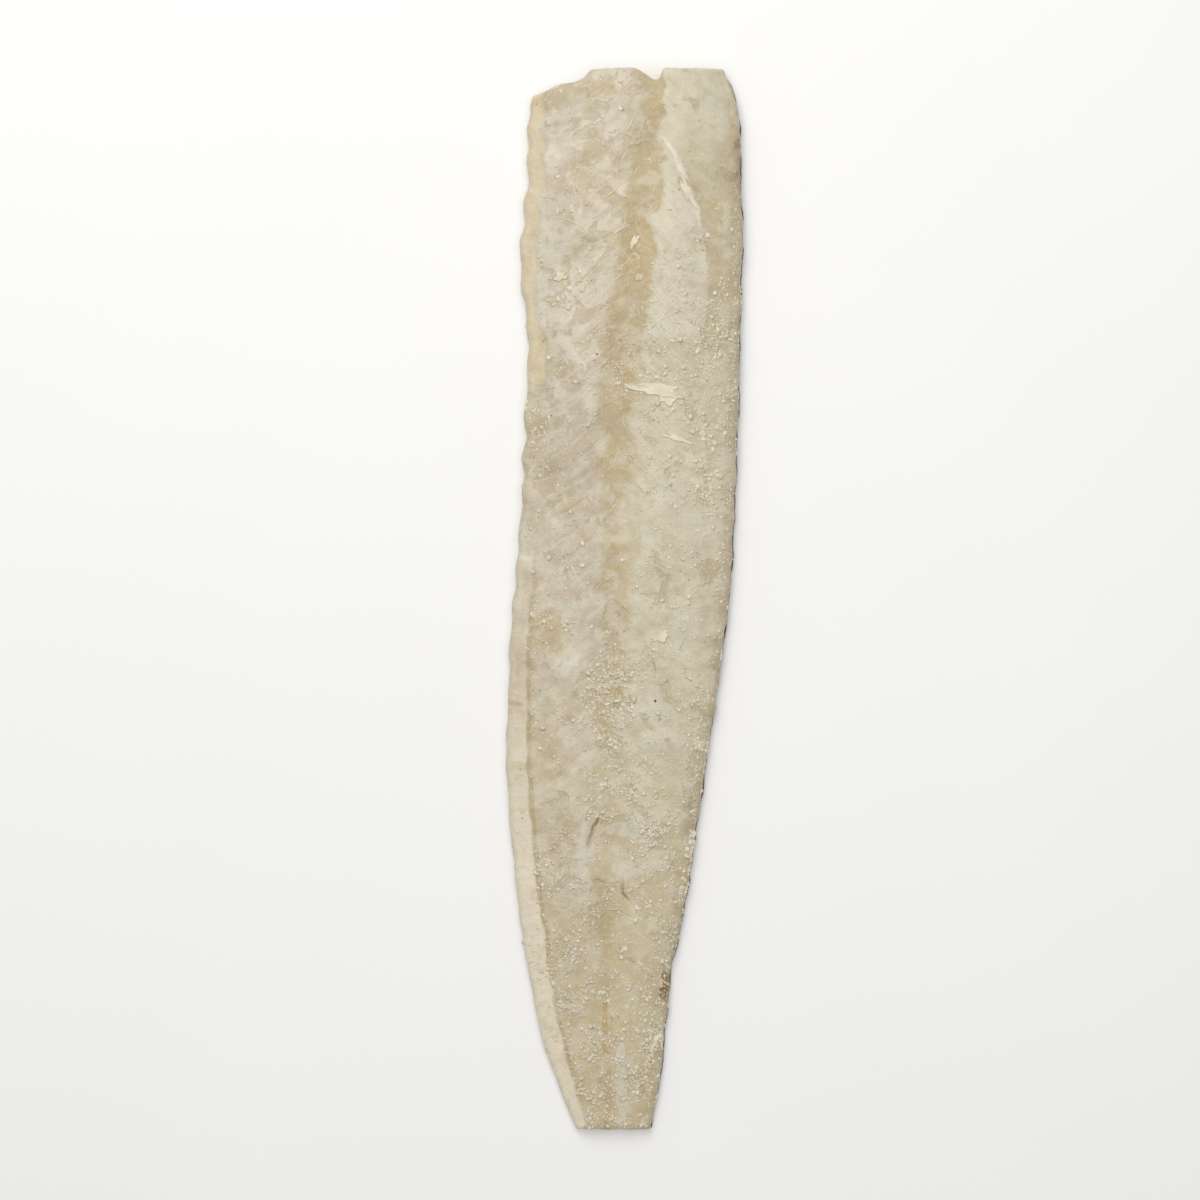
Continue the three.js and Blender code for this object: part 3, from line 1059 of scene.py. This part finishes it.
PER_METRE = 1000.0  # a pattern of one millimetre repeats this many times in a metre
MINUS = {"operation": "SUBTRACT"}
TIMES = {"operation": "MULTIPLY"}
TIMES_PLUS = {"operation": "MULTIPLY_ADD"}
ABSOLUTE = {"operation": "ABSOLUTE"}
SCALED = {"operation": "SCALE"}
COLOURS = {"data_type": "RGBA"}
TINT, UNDER, RESULT = 7, 6, 2  # a colour mix's second and first colour, and its outcome


def linear(hex_colour):
    """A hex sRGB colour as linear red, green, blue and full cover."""
    parts = np.array([int(hex_colour[n:n + 2], 16) for n in (1, 3, 5)]) / 255
    return (*np.where(parts <= 0.04045, parts / 12.92, ((parts + 0.055) / 1.055) ** 2.4), 1.0)


def add_node(tree, kind, settings=(), values=(), links=(), stops=(), out=0):
    """Adds a node of a kind with its settings, its sockets' values, the sockets linked into it and, for a
    colour ramp, its stops from low to high. Returns one of its output sockets."""
    node = tree.nodes.new("ShaderNode" + kind)
    for name, value in dict(settings).items():
        setattr(node, name, value)
    for socket, value in dict(values).items():
        node.inputs[socket].default_value = value
    for socket, source in dict(links).items():
        tree.links.new(source, node.inputs[socket])
    for position, colour in stops[1:-1]:
        node.color_ramp.elements.new(position).color = linear(colour)
    for end in (0, -1) if stops else ():
        node.color_ramp.elements[end].position = stops[end][0]
        node.color_ramp.elements[end].color = linear(stops[end][1])
    return node.outputs[out] if node.outputs else None


def new_material(name):
    """An empty node material, what adds a node to it, and its place in object space."""
    material = bpy.data.materials.new(name)
    material.use_nodes = True
    material.node_tree.nodes.clear()
    add = functools.partial(add_node, material.node_tree)
    return material, add, add("TexCoord", out="Object")


def end_surface(add, constants, links):
    """Ends a material: the shader with its constants and what is linked into it, then the output."""
    shader = add("BsdfPrincipled", values=constants, links=links)
    add("OutputMaterial", links={"Surface": shader})


def tinted(add, colour, tint, source, low, high, most):
    """A tint over a colour, from nothing where the source is low to its most where it is high. Returns the
    colour and how far the tint covers it."""
    cover = add("MapRange", (), {"From Min": low, "From Max": high, "To Max": most}, {"Value": source})
    return add("Mix", COLOURS, {TINT: linear(tint)}, {0: cover, UNDER: colour}, out=RESULT), cover


# Colours of the flesh, from the first laid down to the last.
FLESH_LAYERS = [
    # mark on the flesh, its colour there, the most it covers, how far noise tears its edge, and between which
    # values of the torn mark it comes in
    ("right_lobe", "#D3CBB0", 0.74, 0.6, 0.1, 0.9),
    ("tailward", "#C7B589", 0.75, 0.2, 0.0, 1.0),
    ("bare_right", "#BBAE8A", 0.5, 0.5, 0.1, 0.9),
    ("dull", "#B4A68E", 0.55, 0.5, 0.1, 0.9),
    ("tan", "#C0AD86", 0.65, 0.7, 0.1, 0.9),
    ("film", "#DAD1C0", 0.45, 1.5, 0.38, 0.62),
    ("film_rim", "#E8E0D0", 0.8, 0.9, 0.25, 0.75),
    ("strip", "#B9A67B", 0.75, 1.0, 0.2, 0.8),
    ("rust", "#C4A877", 0.35, 1.0, 0.3, 0.8),
    # Painted shade along the right edge, where the side rounds down.
    ("right_edge", "#A08F7A", 0.55, 1.0, 0.1, 1.0),
    ("pale", "#DAD4C4", 0.62, 1.5, 0.25, 0.85),
    ("beside_band", "#C2B08A", 0.55, 0.6, 0.1, 0.9),
    ("band", "#EADFC8", 0.9, 0.9, 0.0, 1.0),
    # Painted shade in the groove beside the band.
    ("groove", "#B49E70", 0.6, 0.6, 0.2, 0.8),
    ("margin", "#D9CAA8", 0.88, 0.6, 0.25, 0.75),
    ("flake_lines", "#DAD2C1", 0.45, 0.8, 0.3, 0.8),
    ("dried_blood", "#B79964", 0.6, 0.9, 0.2, 0.8),
    ("stain", "#785628", 0.9, 1.0, 0.3, 0.7),
    # Painted shade in the knife nicks.
    ("nick", "#94794E", 0.85, 0.4, 0.3, 0.7),
]


def region_colours(add, place, tear):
    """The lobes' own mottled colour, and over it each layer of FLESH_LAYERS: its mark plus torn noise, cut
    off between two values."""
    mottle = add("TexNoise", (), {"Scale": PER_METRE / 13, "Detail": 4, "Distortion": 0.5}, {"Vector": place})
    lobe_tones = ((0.34, "#C0B397"), (0.45, "#CBBDA9"), (0.56, "#CFC7AF"), (0.68, "#DCD4C4"))
    colour = add("ValToRGB", (), (), {"Fac": mottle}, lobe_tones)
    torn = add("Math", MINUS, {1: 0.5}, {0: tear})
    for mark, tint, most, tearing, low, high in FLESH_LAYERS:
        lie = add("Attribute", {"attribute_name": mark}, out="Fac")
        edge = add("Math", TIMES_PLUS, {1: tearing}, {0: torn, 2: lie})
        colour, _ = tinted(add, colour, tint, edge, low, high, most)
    return colour


def torn_windows(add, place, fibre_way, colour):
    """Windows torn in the lining: noise 16 mm across, leaning along the fibres, is cut off sharply, lower
    where less has peeled. Clearer flesh shows in a window, and a thin pale rim stands round it."""
    leaning = add("VectorMath", TIMES_PLUS, {1: (1.2, 0.5, 1.0)}, {0: fibre_way, 2: place})
    wide = {"Scale": PER_METRE / 16, "Detail": 5, "Distortion": 0.6}
    field = add("TexNoise", (), wide, {"Vector": leaning})
    peeling = add("Attribute", {"attribute_name": "peeling"}, out="Fac")
    level = add("Math", TIMES_PLUS, {1: -0.15}, {0: peeling, 2: field})
    colour, _ = tinted(add, colour, "#B8A985", level, 0.320, 0.304, 0.5)
    smooth = {"interpolation_type": "SMOOTHSTEP"}
    dip = add("MapRange", smooth, {"From Min": 0.335, "From Max": 0.285}, {"Value": level})
    off_rim = add("Math", MINUS, {1: 0.326}, {0: level})
    rim_far = add("Math", ABSOLUTE, (), {0: off_rim})
    colour, rim = tinted(add, colour, "#DED6C6", rim_far, 0.010, 0.0, 0.6)
    return colour, dip, rim


def fibre_streaks(add, fibre_way, colour):
    """Streaks along the muscle fibres: noise 4 mm across and five times as long shades it a little, and the
    crests of finer noise are pale threads."""
    drawn_wide = {"Scale": PER_METRE / 4, "Detail": 5, "Roughness": 0.6}
    broad = add("TexNoise", (), drawn_wide, {"Vector": fibre_way})
    spread = {"From Min": 0.3, "From Max": 0.7, "To Min": 0.94, "To Max": 1.05}
    tone = add("MapRange", (), spread, {"Value": broad})
    colour = add("VectorMath", SCALED, (), {0: colour, "Scale": tone})
    drawn = {"Scale": PER_METRE / 3, "Detail": 2, "Roughness": 0.4, "Distortion": 0.3}
    fine = add("TexNoise", (), drawn, {"Vector": fibre_way})
    off_crest = add("Math", MINUS, {1: 0.55}, {0: fine})
    crest_far = add("Math", ABSOLUTE, (), {0: off_crest})
    crest = add("MapRange", (), {"From Min": 0.022, "From Max": 0.004}, {"Value": crest_far})
    here = add("MapRange", (), {"From Min": 0.5, "From Max": 0.62, "To Max": 0.55}, {"Value": broad})
    thread = add("Math", TIMES, (), {0: crest, 1: here})
    colour = add("Mix", COLOURS, {TINT: linear("#DDD5C5")}, {0: thread, UNDER: colour}, out=RESULT)
    return colour, broad, thread


def dried_brine(add, place, colour):
    """Where the brine dried it is pale and chalky, in torn patches 8 mm across; between them it stays
    clear."""
    chalk = add("TexNoise", (), {"Scale": PER_METRE / 8, "Detail": 7, "Roughness": 0.6}, {"Vector": place})
    colour, cover = tinted(add, colour, "#DAD2C0", chalk, 0.50, 0.58, 0.40)
    colour, _ = tinted(add, colour, "#B9A887", chalk, 0.46, 0.34, 0.38)
    return colour, cover


def crumb_crust(add, place, tear, colour):
    """The crust of salt and loose flesh: crumbs 1.3 mm across, each with a tone of its own and painted shade
    that darkens it towards its edge, in the gaps between crumbs, where the salt lies thick, in torn patches."""
    crust = add("Attribute", {"attribute_name": "salt_crust"}, out="Fac")
    torn = add("Math", TIMES_PLUS, {1: 2.0}, {0: tear, 2: crust})
    share = add("MapRange", (), {"From Min": 1.2, "From Max": 1.75, "To Max": 0.7}, {"Value": torn})
    bend = {1: (1.6 * MM, 1.6 * MM, 0)}
    bent = add("VectorMath", TIMES_PLUS, bend, {0: tear.node.outputs["Color"], 2: place})
    far = add("TexVoronoi", (), {"Scale": PER_METRE / 1.3}, {"Vector": bent})
    own = add("SeparateColor", (), (), {"Color": far.node.outputs["Color"]})
    crumb = add("Math", TIMES_PLUS, {1: -0.75}, {0: far, 2: own})
    # Painted shade: each crumb darkens towards its edge, where the gaps between crumbs lie.
    tone = add("ValToRGB", (), (), {"Fac": crumb}, ((0.0, "#B3A483"), (0.7, "#E4DCCD")))
    colour = add("Mix", COLOURS, (), {0: share, UNDER: colour, TINT: tone}, out=RESULT)
    return colour, share, crumb, crust


def specks_and_pits(add, place, crust, colour):
    """Fine salt bloom, pale specks about 1 mm apart where the crust lies, and a few small pits 4 mm apart,
    sunk and darkened with painted shade."""
    far = add("TexVoronoi", (), {"Scale": PER_METRE / 1.2}, {"Vector": place})
    size = add("MapRange", (), {"From Min": 0.42, "From Max": 0.15, "To Max": 0.8}, {"Value": far})
    own = add("SeparateColor", (), (), {"Color": far.node.outputs["Color"]})
    enough = add("Math", MINUS, (), {0: crust, 1: own})
    chosen = add("MapRange", (), {"From Min": -0.32, "From Max": 0.05}, {"Value": enough})
    speck = add("Math", TIMES, (), {0: size, 1: chosen})
    colour = add("Mix", COLOURS, {TINT: linear("#E6DFD1")}, {0: speck, UNDER: colour}, out=RESULT)
    pit_far = add("TexVoronoi", (), {"Scale": PER_METRE / 4.2}, {"Vector": place})
    pit_own = add("SeparateColor", (), (), {"Color": pit_far.node.outputs["Color"]}, out="Green")
    pit_size = add("Math", TIMES_PLUS, {1: -0.17}, {0: pit_own, 2: pit_far})
    # Painted shade: the pits are darkened, as if shade lay in them.
    colour, pit = tinted(add, colour, "#94835F", pit_size, -0.02, -0.08, 0.5)
    return colour, speck, pit


def cured_cod_flesh():
    """Salt-cured cod muscle: dense, waxy and faintly see-through, so light goes a few millimetres in and its
    edges glow; it is pinkish on the left lobe and greener on the right, tan along the seam where blood
    dried."""
    material, add, place = new_material("cured_cod_flesh")
    fibre_way = add("Attribute", {"attribute_name": "fibre_way"}, out="Vector")
    tear = add("TexNoise", (), {"Scale": PER_METRE / 4.5, "Detail": 8, "Roughness": 0.65}, {"Vector": place})
    colour = region_colours(add, place, tear)
    colour, window, rim = torn_windows(add, place, fibre_way, colour)
    colour, streak, thread = fibre_streaks(add, fibre_way, colour)
    colour, chalk = dried_brine(add, place, colour)
    colour, crust_share, crumb, crust = crumb_crust(add, place, tear, colour)
    colour, speck, pit = specks_and_pits(add, place, crust, colour)

    # Painted light and shade: what stands proud is painted a little paler and what lies low a little darker.
    proud = add("Attribute", {"attribute_name": "proud"}, out="Fac")
    spread = {"From Min": 0.1, "From Max": 0.9, "To Min": 0.91, "To Max": 1.07}
    shade = add("MapRange", (), spread, {"Value": proud})
    colour = add("VectorMath", SCALED, (), {0: colour, "Scale": shade})

    # Damp flesh shines in patches 5 mm across; the waxy margin shines most.
    patches = add("TexNoise", (), {"Scale": PER_METRE / 5, "Detail": 4, "Roughness": 0.65}, {"Vector": place})
    spread = {"From Min": 0.35, "From Max": 0.65, "To Min": 0.40, "To Max": 0.62}
    damp = add("MapRange", (), spread, {"Value": patches})
    margin = add("Attribute", {"attribute_name": "margin"}, out="Fac")
    waxy = add("Math", TIMES_PLUS, {1: -0.12}, {0: margin, 2: damp})

    # Relief too fine for the mesh: a pattern, how strong it is, its height in millimetres, and if it is sunk.
    grain = add("TexNoise", (), {"Scale": PER_METRE / 1.6, "Detail": 5, "Roughness": 0.7}, {"Vector": place})
    crumbling = add("Math", TIMES, (), {0: crust_share, 1: crumb})
    normal = add("Bump", (), {"Strength": 0.4, "Distance": 0.25 * MM}, {"Height": grain})
    for pattern, strength, rise, sunk in (
        (window, 0.6, 0.3, True), (rim, 0.6, 0.18, False), (streak, 0.5, 0.5, False),
        (thread, 0.8, 0.3, False), (chalk, 0.6, 0.35, False), (crumbling, 0.6, 0.35, False),
        (speck, 0.6, 0.25, False), (pit, 0.8, 0.4, True),
    ):
        values = {"Strength": strength, "Distance": rise * MM}
        normal = add("Bump", {"invert": sunk}, values, {"Height": pattern, "Normal": normal})
    constants = {"IOR": 1.42, "Subsurface Weight": 0.2, "Subsurface Radius": (1.0, 0.62, 0.35),
                 "Subsurface Scale": 1.4 * MM}
    end_surface(add, constants, {"Base Color": colour, "Roughness": waxy, "Normal": normal})
    return material


def salted_cod_skin():
    """Cod skin out of the brine: olive brown with darker spots towards the back, cream towards the belly, a
    pale side line, tiny scales 1.5 mm across and a dusting of salt. Damp skin has a satin shine."""
    material, add, place = new_material("salted_cod_skin")
    back = add("Attribute", {"attribute_name": "back"}, out="Fac")
    warp = add("TexNoise", (), {"Scale": PER_METRE / 22, "Detail": 4}, {"Vector": place})
    uneven = add("Math", TIMES_PLUS, {1: 0.45}, {0: warp, 2: back})
    belly_to_back = ((0.30, "#CFC5AE"), (0.62, "#9A8F76"), (1.0, "#5F5643"))
    colour = add("ValToRGB", (), (), {"Fac": uneven}, belly_to_back)
    spots = add("TexNoise", (), {"Scale": PER_METRE / 6, "Detail": 3}, {"Vector": place})
    spot = add("MapRange", (), {"From Min": 0.52, "From Max": 0.66, "To Max": 0.6}, {"Value": spots})
    back_spot = add("Math", TIMES, (), {0: spot, 1: back})
    colour = add("Mix", COLOURS, {TINT: linear("#40382A")}, {0: back_spot, UNDER: colour}, out=RESULT)
    side_line = add("Attribute", {"attribute_name": "side_line"}, out="Fac")
    broken = add("MapRange", (), {"From Min": 0.35, "From Max": 0.65, "To Max": 0.6}, {"Value": spots})
    line = add("Math", TIMES, (), {0: side_line, 1: broken})
    colour = add("Mix", COLOURS, {TINT: linear("#D6CDB8")}, {0: line, UNDER: colour}, out=RESULT)
    dust = add("TexNoise", (), {"Scale": PER_METRE / 1.3, "Detail": 5, "Roughness": 0.75}, {"Vector": place})
    colour, _ = tinted(add, colour, "#E0D9CB", dust, 0.56, 0.72, 0.6)
    scales = add("TexVoronoi", (), {"Scale": PER_METRE / 1.5}, {"Vector": place})
    normal = add("Bump", (), {"Strength": 0.5, "Distance": 0.2 * MM}, {"Height": scales})
    end_surface(add, {"Roughness": 0.42, "IOR": 1.45}, {"Base Color": colour, "Normal": normal})
    return material


def clouded(name, size, detail, stops, constants, bump=None):
    """A material whose colour drifts between stops by noise of a size in millimetres. With a bump, finer
    noise roughens it: its size, its detail, how strong it is and its height."""
    material, add, place = new_material(name)
    drift = add("TexNoise", (), {"Scale": PER_METRE / size, "Detail": detail}, {"Vector": place})
    links = {"Base Color": add("ValToRGB", (), (), {"Fac": drift}, stops)}
    if bump:
        size, detail, strength, rise = bump
        fine = add("TexNoise", (), {"Scale": PER_METRE / size, "Detail": detail}, {"Vector": place})
        links["Normal"] = add("Bump", (), {"Strength": strength, "Distance": rise * MM}, {"Height": fine})
    end_surface(add, constants, links)
    return material


def curing_salt():
    """Coarse curing salt: dull white crystals, rounded and wetted by the brine, stained a little by the
    fish. They let light in, so they read as soft pale beads with small glints."""
    constants = {"Roughness": 0.45, "IOR": 1.54, "Subsurface Weight": 0.15,
                 "Subsurface Radius": (1.0, 0.85, 0.7), "Subsurface Scale": 0.4 * MM}
    tones = ((0.35, "#D4C9AF"), (0.65, "#E6DDC9"))
    return clouded("curing_salt", 4, 2, tones, constants, bump=(0.6, 3, 0.3, 0.1))


def dark_skin_fleck():
    """Tiny flecks of the fish's dark skin, left behind by the knife: nearly black brown, and damp."""
    tones = ((0.0, "#1E1913"), (1.0, "#5A4C36"))
    return clouded("dark_skin_fleck", 0.5, 2, tones, {"Roughness": 0.4, "IOR": 1.45})


def dried_membrane(name, dark, light):
    """The thin lining of the belly, torn and dried pale: a smooth satin skin with fine creases. Loose scraps
    dried whiter than the threads that still cling to the flesh."""
    constants = {"Roughness": 0.5, "IOR": 1.42, "Subsurface Weight": 0.15,
                 "Subsurface Radius": (1.0, 0.7, 0.45), "Subsurface Scale": 0.5 * MM}
    return clouded(name, 5, 4, ((0.35, dark), (0.62, light)), constants, bump=(1.8, 4, 0.4, 0.2))


def pale_floor():
    """A plain, nearly white table top with a dull finish."""
    return clouded("pale_floor", 125, 2, ((0.0, "#F6F6F5"), (1.0, "#F9F9F8")), {"Roughness": 0.9})


# ---------------------------------------------------------------- putting it together

COARSE_GRAINS = 1000
FINE_GRAINS = 4800

salt = curing_salt()
build_flesh(cured_cod_flesh())
build_skin(salted_cod_skin())
build_scraps(dried_membrane("dried_membrane_scraps", dark="#D6CAB0", light="#E6DCC6"))
build_threads(dried_membrane("dried_membrane_threads", dark="#CFC2A4", light="#DBCFB3"))

draw_coarse = np.random.default_rng(11)
x, y = strew(COARSE_GRAINS, draw_coarse, heaping=3.0)
strewn = (x, y, drawn_sizes(draw_coarse, len(x), middle=1.15, spread=0.30, least=0.7, most=2.2))
coarse = [np.concatenate(pair) for pair in zip(strewn, in_clusters(draw_coarse))]
build_salt("coarse_salt", worn_cube(), coarse, draw_coarse, salt, sunk=0.5, uneven=0.26, smooth=False)

draw_fine = np.random.default_rng(12)
x, y = strew(FINE_GRAINS, draw_fine, heaping=1.7)
fine = (x, y, drawn_sizes(draw_fine, len(x), middle=1.1, spread=0.38, least=0.4, most=2.4))
build_salt("fine_salt", crumb_blank(), fine, draw_fine, salt, sunk=0.58, uneven=0.45)

draw_flecks = np.random.default_rng(14)
flecks = [np.array(column, float) for column in zip(*SKIN_FLECKS)]
fleck_skin = dark_skin_fleck()
fleck_piece = build_salt("skin_flecks", crumb_blank(), flecks, draw_flecks, fleck_skin, sunk=0.45, uneven=0.2)

bpy.ops.mesh.primitive_plane_add(size=6)
floor = bpy.context.object
floor.name = "floor"
floor.data.materials.append(pale_floor())

softbox("upper_left", (-0.25, 0.85, 1.0), size=0.8, watts=7.6, colour=(1.0, 0.99, 0.97))
softbox("overhead", (0.1, 0.0, 1.6), size=1.6, watts=10.8, colour=(1.0, 0.99, 0.985))
world = bpy.data.worlds.new("studio")
world.use_nodes = True
world.node_tree.nodes["Background"].inputs["Color"].default_value = (1, 1, 1, 1)
world.node_tree.nodes["Background"].inputs["Strength"].default_value = 0.38
bpy.context.scene.world = world
bpy.context.scene.view_settings.view_transform = "Standard"
